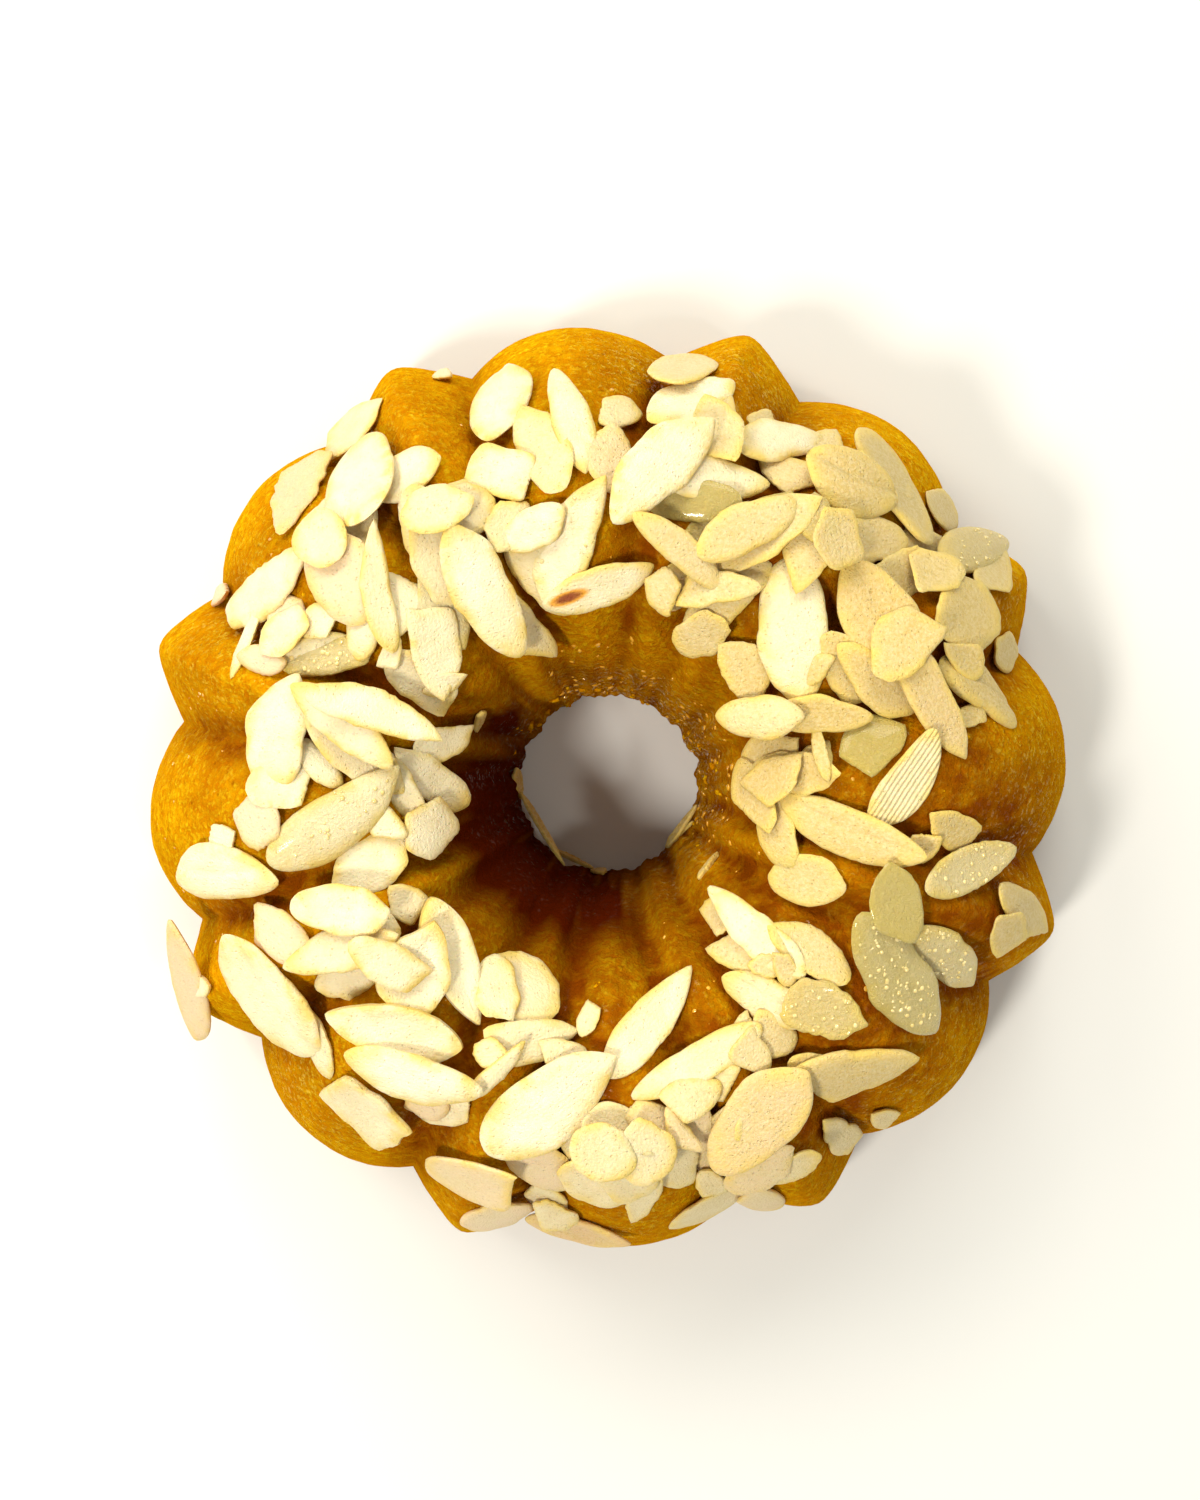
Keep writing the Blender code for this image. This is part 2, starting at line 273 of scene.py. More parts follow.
def make_crust():
    material, tree, shader, place = new_material(
        "golden_crust", 0.65, Specular_IOR_Level=0.0, Coat_Roughness=0.10, Coat_IOR=1.35,
    )
    blotches = place_group(tree, mottle, Large_Scale=75.0, Small_Scale=430.0)
    fine = place_group(tree, mottle, Large_Scale=240.0, Small_Scale=1000.0)
    grain = place_group(tree, food_grain, Bump_Scale=1500.0, Pore_Scale=560.0, Pore_Share=0.2)
    soak_and_shade, well_shade_and_crumb, wet = attribute(tree, "soak_and_shade"), attribute(tree, "well_shade_and_crumb"), attribute(tree, "wet")
    colour = mix_colour(tree, blotches.outputs["Speckle"], DEEP_GOLD, GOLD)
    pale = ranged(tree, fine.outputs["Speckle"], 0.4, 1.0, 0.0, 0.7)
    colour = mix_colour(tree, pale, colour, FLECK)
    browned = math_node(tree, "MULTIPLY", blotches.outputs["Blotch"], 0.45)
    colour = mix_colour(tree, browned, colour, DEEP_GOLD)
    patchy = math_node(tree, "MULTIPLY", fine.outputs["Blotch"], 0.35)
    # syrup-soaked brown, which also carries painted shade in the valleys and on the cake's right and lower right
    # sides
    soak_and_shade_share = math_node(tree, "MULTIPLY", soak_and_shade, math_node(tree, "ADD", patchy, 0.75), clamp=True)
    colour = mix_colour(tree, soak_and_shade_share, colour, SOAK_AND_SHADE_BROWN)
    # painted shade deep in the hole, darkest on the wall away from the lamp, with brown torn crumb at the rim
    colour = mix_colour(tree, well_shade_and_crumb, colour, WELL_SHADE_AND_CRUMB_BROWN)
    # the pores are darkened as painted shade in them
    pores = math_node(tree, "MULTIPLY", grain.outputs["Pores"], 0.45)
    colour = mix_colour(tree, pores, colour, PORE_SHADE_BROWN)
    tree.links.new(colour, shader.inputs["Base Color"])
    height = math_node(tree, "ADD", grain.outputs["Height"], fine.outputs["Speckle"])
    bump = add_node(tree, "ShaderNodeBump", Strength=0.75, Distance=0.0005)
    tree.links.new(height, bump.inputs["Height"])
    tree.links.new(bump.outputs["Normal"], shader.inputs["Normal"])
    glaze = math_node(tree, "MULTIPLY", wet, ranged(tree, fine.outputs["Speckle"], 0.7, 0.95))
    tree.links.new(glaze, shader.inputs["Coat Weight"])
    return material


crust = make_crust()
print("material", crust.name)

# %% [markdown]
# ## The almonds
# Blanched almonds are cream-coloured and slightly translucent, with a warmer, pinkish rim where
# the slice was cut near the skin. Each slice has a tone of its own, and the slices towards the
# right, away from the window, are given a darker honey tone as painted shade. A few lie in syrup
# and look wet and glassy. The tone, the wetness and the nearness to the rim are kept on the mesh.

# %% Veins: fine lines that run the length of a slice
def make_vein_group():
    """Wavering ridges along a slice, from its own coordinate across it (the piece keeps it)."""
    tree, given, out = new_group("almond_veins", {"Vein Width": 0.0008}, ["Height"])
    place = tree.nodes.new("ShaderNodeTexCoord").outputs["Object"]
    waver = add_node(tree, "ShaderNodeTexNoise", Scale=120.0, Detail=2.0)
    tree.links.new(place, waver.inputs["Vector"])
    turns = math_node(tree, "DIVIDE", attribute(tree, "across"), given.outputs["Vein Width"])
    shifted = math_node(tree, "ADD", turns, math_node(tree, "MULTIPLY", waver.outputs["Fac"], 0.9))
    wave = math_node(tree, "SINE", math_node(tree, "MULTIPLY", shifted, math.tau))
    tree.links.new(math_node(tree, "MULTIPLY", wave, 0.5), out.inputs["Height"])
    return tree


almond_veins = make_vein_group()
print("node group", almond_veins.name)

# %% Almond material
CREAM = (0.95, 0.85, 0.58)
HONEY = (0.58, 0.39, 0.07)
GLASSY = (0.80, 0.57, 0.12)
ROSY = (0.76, 0.48, 0.28)
WET = (0.60, 0.475, 0.12)
TOASTED = (0.80, 0.36, 0.03)
SCORCH = (0.26, 0.05, 0.002)
FLESH_RADIUS = (1.0, 0.62, 0.25)


def make_almond():
    material, tree, shader, place = new_material(
        "sliced_almond", 0.5, Subsurface_Weight=0.22, Subsurface_Scale=0.0022, Specular_IOR_Level=0.5,
        Subsurface_Radius=FLESH_RADIUS, Coat_Roughness=0.08, Coat_IOR=1.42,
    )
    blotches = place_group(tree, mottle, Large_Scale=170.0, Small_Scale=1500.0)
    grain = place_group(tree, food_grain, Bump_Scale=2200.0, Pore_Scale=1500.0, Pore_Share=0.4)
    veins = place_group(tree, almond_veins)
    tone, rim, wet = attribute(tree, "tone"), attribute(tree, "rim"), attribute(tree, "wet")
    rosy, ridged = attribute(tree, "rosy"), attribute(tree, "ridged")
    # cream to honey by tone: each slice's own colour, with painted shade on the slices towards the right
    colour = mix_colour(tree, tone, CREAM, HONEY)
    colour = mix_colour(tree, math_node(tree, "MULTIPLY", blotches.outputs["Blotch"], 0.3), colour, HONEY)
    colour = mix_colour(tree, math_node(tree, "MULTIPLY", blotches.outputs["Speckle"], 0.3), colour, CREAM)
    glassy = math_node(tree, "MULTIPLY", rim, ranged(tree, blotches.outputs["Blotch"], 0.1, 0.9, 0.3, 0.95))
    colour = mix_colour(tree, glassy, colour, GLASSY)
    flushed = ranged(tree, blotches.outputs["Blotch"], 0.1, 0.8, 1.0, 0.5)
    colour = mix_colour(tree, math_node(tree, "MULTIPLY", rosy, flushed), colour, ROSY)
    colour = mix_colour(tree, math_node(tree, "MULTIPLY", wet, 0.7), colour, WET)
    scorch = attribute(tree, "scorch")
    colour = mix_colour(tree, ranged(tree, scorch, 0.0, 0.5), colour, TOASTED)
    colour = mix_colour(tree, ranged(tree, scorch, 0.4, 1.0), colour, SCORCH)
    tree.links.new(colour, shader.inputs["Base Color"])
    tree.links.new(ranged(tree, wet, 0.0, 0.8, 0.5, 0.1), shader.inputs["Roughness"])
    tree.links.new(math_node(tree, "MULTIPLY", wet, 0.5), shader.inputs["Coat Weight"])
    lines = math_node(tree, "MULTIPLY", veins.outputs["Height"], math_node(tree, "ADD", ridged, 0.06))
    height = math_node(tree, "ADD", grain.outputs["Height"], lines)
    beads = math_node(tree, "MULTIPLY", blotches.outputs["Speckle"], math_node(tree, "MULTIPLY", wet, 1.6))
    height = math_node(tree, "ADD", height, beads)
    bump = add_node(tree, "ShaderNodeBump", Strength=0.7, Distance=0.0005)
    tree.links.new(height, bump.inputs["Height"])
    tree.links.new(bump.outputs["Normal"], shader.inputs["Normal"])
    return material


almond = make_almond()
print("material", almond.name)

# %% [markdown]
# ## The ring
# The cake was turned out of a fluted tin, so its form follows a rule: a half-round profile spun
# about the axis, and pushed in along its own normal where the tin's flutes stand. The packed
# solid follows the same rule with few faces. Here the profile has a point every millimetre and
# is spun in 480 steps, so that dents, pores and torn crumb can be real relief.

# %% Sizes of the ring, in metres and radians
LOBE_REACH, CROWN_REACH, HOLE_REACH, HEIGHT = 94 * MM, 56 * MM, 18.3 * MM, 74 * MM
OUTER_DRAFT, INNER_DRAFT = 1.25, 0.54
OUTER_FOOT_ROUND, INNER_FOOT_ROUND = 2.5 * MM, 1.5 * MM
FLUTE_PITCH = math.tau / 8
FIRST_RIDGE = math.radians(27.2)
RIDGE_HALF_ANGLE = math.radians(9.0)
FLUTE_STATIONS = (-1.0, -0.5, 0.0, 0.35, 0.6, 1.0)
VALLEY_DEPTHS = tuple(depth * MM for depth in (5.6, 6.2, 5.3, 3.8, 1.9, 0.6))
RIDGE_RISES = (0.33, 0.30, 0.05, 0.10, 0.40, 0.40)
CREST_ROUNDING = 0.16
RING_STEPS = 480
SKIN_STEP = 0.93 * MM

ring_low, ring_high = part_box("ring_cake")
print("ring in the packed model:", tuple(round(v, 4) for v in ring_high))


# %% The rule of the ring, for arrays of points
def ring_outline(station):
    """Radius and height before the flutes: -1 is the outer foot, 0 the crown, 1 the hole's foot."""
    climb = (1 - np.abs(station)) * math.pi / 2
    outer = CROWN_REACH + (LOBE_REACH - CROWN_REACH) * np.cos(climb) ** OUTER_DRAFT
    inner = CROWN_REACH - (CROWN_REACH - HOLE_REACH) * np.cos(climb) ** INNER_DRAFT
    return np.where(station <= 0, outer, inner), HEIGHT * np.sin(climb)


def station_of(radius, height):
    climb = np.arcsin(np.clip(height / HEIGHT, 0, 1))
    return np.where(radius > CROWN_REACH, -1, 1) * (1 - climb / (math.pi / 2))


def outward(station):
    """The way out of the skin there, as shares along the radius and upwards."""
    step = 1e-4
    inside = np.clip(station, -1 + step, 1 - step)
    before, after = ring_outline(inside - step), ring_outline(inside + step)
    along, rise = after[0] - before[0], after[1] - before[1]
    size = np.hypot(along, rise)
    return rise / size, -along / size


def flute_height(azimuth, station):
    """How far the fluted skin stands out, and the share of the valley's depth (1 in a valley)."""
    depth = np.interp(station, FLUTE_STATIONS, VALLEY_DEPTHS)
    rise = np.interp(station, FLUTE_STATIONS, RIDGE_RISES)
    from_ridge = np.abs((azimuth - FIRST_RIDGE + FLUTE_PITCH / 2) % FLUTE_PITCH - FLUTE_PITCH / 2)
    across = np.minimum(from_ridge / RIDGE_HALF_ANGLE, 1)
    widest = math.hypot(1, CREST_ROUNDING)
    share = (widest - np.hypot(across, CREST_ROUNDING)) / (widest - CREST_ROUNDING)
    lobe_across = (FLUTE_PITCH / 2 - from_ridge) / (FLUTE_PITCH / 2 - RIDGE_HALF_ANGLE)
    on_ridge = from_ridge <= RIDGE_HALF_ANGLE
    return np.where(on_ridge, depth * (share * (1 + rise) - 1), -depth * lobe_across**2)


def worn_flute_height(azimuth, station):
    """The flutes as baked: crisp outside, and worn to soft waves inside the hole."""
    turns = np.radians((-3.6, -1.8, 0, 1.8, 3.6))
    soft = np.mean([flute_height(azimuth + turn, station) for turn in turns], axis=0)
    worn = smoothstep(-0.15, 0.4, station)
    return flute_height(azimuth, station) * (1 - worn) + soft * worn


# %% The profile, with a point about every millimetre
def even_profile():
    fine = np.linspace(-0.97, 0.97, 4000)
    radius, height = ring_outline(fine)
    length = np.concatenate([[0], np.cumsum(np.hypot(np.diff(radius), np.diff(height)))])
    marks = np.linspace(0, length[-1], int(length[-1] / SKIN_STEP))
    skin = list(zip(np.interp(marks, length, radius), np.interp(marks, length, height)))
    quarter_outer, quarter_inner = OUTER_FOOT_ROUND * 0.25, INNER_FOOT_ROUND * 0.25
    outer_foot = [(70 * MM, 0), (82 * MM, 0), (LOBE_REACH - OUTER_FOOT_ROUND, 0),
                  (LOBE_REACH - quarter_outer, quarter_outer)]
    inner_foot = [(HOLE_REACH + quarter_inner, quarter_inner), (HOLE_REACH + INNER_FOOT_ROUND, 0),
                  (28 * MM, 0), (42 * MM, 0), (56 * MM, 0)]
    return outer_foot + skin + inner_foot


profile = even_profile()
print("profile points:", len(profile))


# %% Spin the profile into a plain ring
def spun_ring():
    body = bmesh.new()
    corners = [body.verts.new((radius, 0, height)) for radius, height in profile]
    edges = [body.edges.new((a, b)) for a, b in zip(corners, corners[1:] + corners[:1])]
    bmesh.ops.spin(body, geom=corners + edges, cent=(0, 0, 0), axis=(0, 0, 1), angle=math.tau,
                   steps=RING_STEPS, use_merge=True)
    bmesh.ops.rotate(body, verts=body.verts, cent=(0, 0, 0), matrix=Matrix.Rotation(FIRST_RIDGE, 3, "Z"))
    bmesh.ops.recalc_face_normals(body, faces=body.faces)
    return body


ring_body = spun_ring()
print("ring:", len(ring_body.faces), "faces")

# %% [markdown]
# ## Relief of the crust
# A home-baked ring is never as true as its tin. The relief is added along the skin's normal in
# layers: slow unevenness over a few centimetres, small dents, a few larger burst bubbles, and
# crumb torn ragged round the foot of the hole, where the tin's tube pulled at it.

# %% Burst bubbles: azimuth in degrees, distance from the axis, radius and depth in mm
BUBBLES = (
    (71, 84, 1.6, 1.5), (188, 79, 0.8, 0.9), (166, 88, 0.8, 0.7), (131, 83, 0.7, 0.5), (108, 82, 0.9, 0.6),
    (318, 84, 0.9, 0.6), (7, 83, 0.8, 0.5), (342, 73, 0.9, 0.5), (104, 77, 1.2, 0.6),
    (154, 84, 0.7, 0.5), (55, 84, 0.8, 0.6), (285, 89, 0.8, 0.5), (22, 86, 0.7, 0.5),
)


def relief(points, azimuth, station):
    """How far the crust stands out of the true fluted skin, in metres."""
    raised = 0.50 * noise_at(points, 21 * MM, 1) + 0.20 * noise_at(points, 6 * MM, 2)
    raised += 0.10 * noise_at(points, 2.2 * MM, 3)
    for degrees, reach, size, depth in BUBBLES:
        place = np.array([math.cos(math.radians(degrees)), math.sin(math.radians(degrees))]) * reach * MM
        near = np.hypot(points[:, 0] - place[0], points[:, 1] - place[1]) / (size * MM)
        raised -= depth * np.exp(-near**2) * (station < 0)
    torn = smoothstep(0.55, 0.9, station)
    raised += torn * (0.9 * noise_at(points, 4.5 * MM, 4) + 0.55 * noise_at(points, 1.7 * MM, 5) - 0.2)
    fibres = np.stack([np.cos(azimuth) * 14, np.sin(azimuth) * 14, station * 6], axis=1)
    raised += 0.55 * smoothstep(0.35, 0.8, station) * noise_at(fibres, 1.0, 6)
    lip = smoothstep(-0.92, -0.97, station)
    raised += lip * (0.5 * noise_at(points, 9 * MM, 8) + 0.2)
    return raised * MM


# %% Push the plain ring into its fluted, uneven form
def shape_ring(body):
    places = points_of(body)
    radius = np.hypot(places[:, 0], places[:, 1])
    azimuth = np.arctan2(places[:, 1], places[:, 0])
    station = station_of(radius, places[:, 2])
    out, up = outward(station)
    normal = np.stack([out * np.cos(azimuth), out * np.sin(azimuth), up], axis=1)
    underside = (places[:, 2] == 0) & (radius < 83 * MM) & (radius > 22 * MM)
    flute = np.where(underside, 0, worn_flute_height(azimuth, station))
    fluted = places + normal * flute[:, None]
    lift = np.where(places[:, 2] > 0, relief(fluted, azimuth, station), 0)
    move_points(body, fluted + normal * lift[:, None])
    depth = np.interp(station, FLUTE_STATIONS, VALLEY_DEPTHS)
    valley = np.clip(-flute / depth, 0, 1)
    return azimuth, station, valley


azimuth, station, valley = shape_ring(ring_body)
ring = piece_from(ring_body, "ring_crust", crust)
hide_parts("ring_cake")


# %% Where syrup soaked in, where shade is painted, and how deep in the hole, kept on the ring's points
def store(piece, name, values):
    kept = piece.data.attributes.new(name, "FLOAT", "POINT")
    kept.data.foreach_set("value", np.asarray(values, dtype=np.float32))


around = np.stack([np.cos(azimuth) * 9, np.sin(azimuth) * 9, station * 4], axis=1)
blotchy, patchy = noise_at(around, 1.0, 7), noise_at(around, 2.3, 9)
crown = smoothstep(-0.8, -0.2, station)
# the hole's wall on the lower left, which faces away from the lamp; used below to paint shade on it
facing = smoothstep(-0.45, 0.9, np.cos(azimuth - math.radians(218)))
# the cake's right side: the crown there is darkened as painted shade, and the hole's wall there is wetter
right_side = smoothstep(-0.2, 0.8, np.cos(azimuth - math.radians(20)))
# painted shade: the lower right side, away from the lights, is made browner
painted_shade_side = smoothstep(-0.1, 0.9, np.cos(azimuth - math.radians(305)))
inside = smoothstep(0.10, 0.58, station)
# syrup brown in the valleys and on the crown; part of it is painted shade in the valleys, on the crown's right side
# and on the lower right side; it is also darker towards the foot
soak_and_shade = smoothstep(0.25, 1.0, valley) * (0.32 + 0.50 * crown) + 0.3 * smoothstep(-0.86, -1.0, station)
soak_and_shade += crown * (0.44 + 0.30 * right_side + 0.35 * blotchy + 0.35 * patchy) + 0.26 * painted_shade_side
torn_rim = np.exp(-((station - 0.62) / 0.09) ** 2) * smoothstep(0.2, 0.8, np.cos(azimuth - math.radians(100)))
streaks = noise_at(np.stack([np.cos(azimuth) * 13, np.sin(azimuth) * 13, station * 3], axis=1), 1.0, 10)
# painted shade deeper in the hole, strongest on the wall away from the lamp, plus brown torn crumb at the top of the
# rim
well_shade_and_crumb = inside * (0.05 + 1.05 * facing + 0.16 * blotchy + 0.14 * streaks) + torn_rim * (0.2 + 0.8 * patchy)
wet = smoothstep(0.3, 0.8, station) * (0.3 + 0.6 * right_side) + crown * (0.2 + 0.4 * right_side + 0.6 * patchy)
store(ring, "soak_and_shade", np.clip(soak_and_shade * (1 - 0.4 * inside), 0, 1))
store(ring, "well_shade_and_crumb", np.clip(well_shade_and_crumb, 0, 1))
store(ring, "wet", np.clip(wet, 0, 1))
print("soaked share:", round(float(np.mean(soak_and_shade > 0.3)), 3))

# %% [markdown]
# ## Almond slices
# A slice is a thin cut through an almond: a drop-shaped outline, two flat faces and a rounded
# rim. It starts as a small ball, because a ball's rings crowd where the rim turns. The ball is
# squashed to the slice's thickness, and its outline is drawn out to the slice's own.

# %% From a packed slice to its frame and outline
SLICE_SIDES, SLICE_RINGS = 56, 16
SMALL_SIDES, SMALL_RINGS = 40, 13
THICKNESS = 1.2 * MM
RIM_ANGLE = math.radians(48)


def measure_slice(name):
    """The frame a packed slice lies in, and the corners of its outline round that z axis."""
    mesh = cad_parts[name].data
    corners = np.unique(np.round([tuple(v.co) for v in mesh.vertices], 6), axis=0)
    middle = corners.mean(axis=0)
    axes = np.linalg.svd(corners - middle)[2]
    normal = axes[2] * (1 if axes[2][2] > 0 else -1)
    length = axes[0] * (1 if axes[0][0] > 0 else -1)
    across = np.cross(normal, length)
    local = (corners - middle) @ np.stack([length, across, normal], axis=1)
    rim = local[np.abs(local[:, 2]) < 0.25 * MM]
    order = np.argsort(np.arctan2(rim[:, 1], rim[:, 0]))
    turn = Matrix(np.stack([length, across, normal], axis=1).tolist()).to_4x4()
    turn.translation = Vector(middle)
    return turn, rim[order, :2]


def smooth_outline(corners, sides):
    """A closed curve through the corners, as points a slice's side apart."""
    before, after, next_after = np.roll(corners, 1, 0), np.roll(corners, -1, 0), np.roll(corners, -2, 0)
    points = []
    for t in np.linspace(0, 1, 12, endpoint=False):
        points.append(0.5 * (2 * corners + (after - before) * t
                             + (2 * before - 5 * corners + 4 * after - next_after) * t**2
                             + (3 * corners - before - 3 * after + next_after) * t**3))
    curve = np.stack(points, axis=1).reshape(-1, 2)
    gaps = np.hypot(*(np.roll(curve, -1, 0) - curve).T)
    length = np.concatenate([[0], np.cumsum(gaps)])
    marks = np.linspace(0, length[-1], sides, endpoint=False)
    closed = np.vstack([curve, curve[:1]])
    return np.stack([np.interp(marks, length, closed[:, axis]) for axis in (0, 1)], axis=1)


turn, rim = measure_slice(slice_nodes[0])
print("first slice:", len(rim), "corners, middle", tuple(round(v, 4) for v in turn.translation))


# %% Breaks and nibbles along an outline
def broken_off(outline, chance, cuts):
    """The outline with straight breaks: what lies beyond each chord is drawn in to it."""
    outline = outline.copy()
    for _ in range(cuts):
        angle = chance.choice((0.0, math.pi)) + chance.normal(0, 0.55)
        way = np.array([math.cos(angle), math.sin(angle)])
        reach = (outline @ way).max() * chance.uniform(0.45, 0.8)
        beyond = outline @ way
        over = beyond > reach
        outline[over] *= (reach / beyond[over])[:, None]
        outline[over] += chance.normal(0, 0.06 * MM, (int(over.sum()), 2))
    return outline


def nibbled(outline, chance, ragged):
    """The outline bent along its spine, with pointed ends and slow and fine unevenness."""
    along = outline[:, 0] / np.abs(outline[:, 0]).max()
    points = np.where(along > 0, chance.uniform(0, 0.75), chance.uniform(0, 0.45))
    outline = outline * np.stack([np.ones_like(along), 1 - points * np.abs(along) ** 4], axis=1)
    outline[:, 1] += chance.normal(0, 0.06) * np.abs(outline[:, 0]).max() * (along**2 - 0.3)
    angle = np.arctan2(outline[:, 1], outline[:, 0])
    wave = 1.0
    for turns, size in ((2, 0.03), (3, 0.04), (5, 0.025), (8, 0.15 * ragged), (13, 0.15 * ragged)):
        wave = wave + size * chance.normal() * np.sin(angle * turns + chance.uniform(0, math.tau))
    return outline * wave[:, None] + chance.normal(0, 0.5 * ragged * MM, outline.shape)


# %% One fine slice
PLAIN = {"dome": 0.0, "cuts": 0, "wet": 0.0, "rosy": 0.0, "ridged": 0.0, "tone": None, "ragged": 0.04,
         "scorch": False, "groove": 0.0, "cup": 0.0, "thin": 1.0}


def fine_slice(rim, turn, seed, sides=SLICE_SIDES, rings=SLICE_RINGS, **looks):
    """A slice with a rounded rim in its place, and what its points carry for the material."""
    looks = PLAIN | looks
    chance = np.random.default_rng(seed)
    body = bmesh.new()
    bmesh.ops.create_uvsphere(body, u_segments=sides, v_segments=rings, radius=1.0)
    places = points_of(body)
    share = np.clip(np.hypot(places[:, 0], places[:, 1]), 0, 1)
    side = np.round(np.arctan2(places[:, 1], places[:, 0]) / math.tau * sides).astype(int)
    outline = broken_off(nibbled(smooth_outline(rim, sides), chance, looks["ragged"]), chance, looks["cuts"])
    flat = outline[side % sides] * share[:, None]
    half_length, half_width = np.abs(outline[:, 0]).max(), np.abs(outline[:, 1]).max()
    along, across = flat[:, 0] / half_length, flat[:, 1] / half_width
    top = places[:, 2] > 0
    half = THICKNESS / 2 * chance.uniform(0.85, 1.15) * looks["thin"]
    height = np.sign(places[:, 2]) * half * (1 - share**11) ** 0.42
    height += top * MM * (looks["dome"] * (1 - share**2) ** 0.8 + looks["cup"] * smoothstep(0.35, 0.85, share))
    height += chance.uniform(-0.10, 0.30) * MM * across**2 + chance.uniform(-0.4, 0.25) * MM * along**2
    step = chance.uniform(-0.14, 0.14) * MM * (chance.random() < 0.5)
    height += top * step * smoothstep(0.75, 0.55, share)
    height -= top * looks["groove"] * MM * np.exp(-((across - 0.12 - 0.2 * along**2) / 0.13) ** 2)
    local = np.column_stack([flat, height])
    local[:, 2] += 0.07 * MM * noise_at(local, 2.4 * MM, seed)
    move_points(body, local)
    body.transform(turn)
    tone = chance.uniform(0, 1) if looks["tone"] is None else looks["tone"]
    marks = {"tone": np.full(len(local), tone), "rim": smoothstep(0.55, 1.0, share)}
    for key in ("wet", "rosy", "ridged"):
        marks[key] = np.full(len(local), looks[key])
    marks["across"] = local[:, 1]
    spot = np.hypot((along + 0.56) / 0.40, (across - 0.1) / 0.36)
    marks["scorch"] = smoothstep(1.15, 0.25, spot) * looks["scorch"]
    return body, marks


# %% Join slices into one piece
def join_slices(made, name):
    whole = bmesh.new()
    marks = {key: [] for key in made[0][1]}
    for body, own in made:
        mesh = bpy.data.meshes.new("part")
        body.to_mesh(mesh)
        body.free()
        whole.from_mesh(mesh)
        bpy.data.meshes.remove(mesh)
        for key in marks:
            marks[key].append(own[key])
    piece = piece_from(whole, name, almond)
    piece.data.set_sharp_from_angle(angle=RIM_ANGLE)
    for key, values in marks.items():
        store(piece, key, np.concatenate(values))
    return piece


# %% How single slices look, by number
# dome: mm that the face bulges; groove: mm; tone: 0 cream to 1 honey, the slice's own tone with painted shade added
# on the slices to the right; the rest are shares
SLICE_LOOKS = {
    1: {"dome": 0.3, "tone": 0.1}, 2: {"dome": 0.6, "tone": 0.1}, 3: {"rosy": 0.5, "ragged": 0.14, "cuts": 1},
    4: {"ragged": 0.14, "dome": 0.6, "tone": 0.1}, 5: {"wet": 0.5, "ragged": 0.16, "tone": 0.5},
    6: {"dome": 0.5, "groove": 0.25, "tone": 0.1}, 7: {"tone": 0.3}, 8: {"tone": 0.1, "ragged": 0.1},
    9: {"tone": 0.0, "ragged": 0.10}, 10: {"tone": 0.2}, 11: {"rosy": 0.3, "ragged": 0.12, "tone": 0.1},
    12: {"dome": 0.5, "tone": 0.0, "ragged": 0.08}, 13: {"dome": 0.9, "groove": 0.4, "tone": 0.1},
    14: {"tone": 0.15, "cuts": 1}, 15: {"tone": 0.25, "wet": 0.1}, 16: {"tone": 0.1}, 17: {"dome": 0.5, "tone": 0.2},
    18: {"tone": 0.2, "scorch": True}, 19: {"groove": 0.4, "dome": 0.5, "tone": 0.05},
    20: {"tone": 0.15}, 21: {"dome": 0.5, "tone": 0.0}, 22: {"dome": 0.5, "tone": 0.1},
    23: {"wet": 0.55, "tone": 0.7}, 24: {"dome": 0.5, "tone": 0.7}, 25: {"tone": 0.85},
    26: {"dome": 1.0, "groove": 0.7, "tone": 0.9}, 27: {"dome": 0.8, "tone": 0.2, "ragged": 0.06},
    28: {"tone": 0.95, "rosy": 0.12, "groove": 0.3}, 29: {"dome": 0.9, "tone": 0.9, "wet": 0.35},
    30: {"dome": 0.9, "tone": 0.9, "groove": 0.4}, 31: {"tone": 0.85, "rosy": 0.15}, 32: {"tone": 0.95},
    33: {"dome": 0.8, "tone": 0.6}, 34: {"ridged": 0.7, "tone": 0.45}, 35: {"tone": 0.85, "groove": 0.3, "dome": 0.4},
    36: {"tone": 0.6, "wet": 0.3, "ragged": 0.1}, 37: {"dome": 0.8, "tone": 0.5, "wet": 0.4},
    38: {"dome": 1.0, "wet": 0.9, "tone": 0.5, "groove": 0.3}, 39: {"tone": 0.15},
    40: {"tone": 0.4, "groove": 0.4, "dome": 0.4}, 41: {"tone": 0.8, "wet": 0.35, "ragged": 0.1},
    42: {"dome": 0.7, "tone": 0.85, "ragged": 0.1, "cuts": 1}, 43: {"tone": 0.75, "rosy": 0.2, "dome": 0.5},
    44: {"tone": 0.25}, 45: {"tone": 0.15}, 46: {"dome": 0.9, "tone": 0.0}, 47: {"rosy": 0.5},
    48: {"tone": 0.5, "rosy": 0.3}, 49: {"tone": 0.25, "cup": 0.3, "ragged": 0.14, "cuts": 1}, 50: {"cup": 0.8, "tone": 0.1},
    51: {"cup": 0.7, "tone": 0.1}, 52: {"tone": 0.1, "cup": 0.6}, 53: {"dome": 0.7, "tone": 0.0},
    54: {"dome": 0.8, "groove": 0.5, "tone": 0.1}, 55: {"dome": 0.4, "tone": 0.3},
    56: {"tone": 0.1}, 57: {"dome": 1.0, "tone": 0.15, "wet": 0.3}, 58: {"dome": 1.2, "groove": 0.5, "tone": 0.0},
    59: {"rosy": 0.45, "tone": 0.4},
}

# %% The larger slices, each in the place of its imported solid
large, wet_slices = [], []
for number, name in enumerate(slice_nodes, start=1):
    turn, rim = measure_slice(name)
    looks = SLICE_LOOKS.get(number, {})
    wet_slices.append((turn, rim.max(axis=0), looks.get("wet", 0)))
    large.append(fine_slice(rim, turn, number, **looks))
large_slices = join_slices(large, "large_slices")
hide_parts(*slice_nodes)

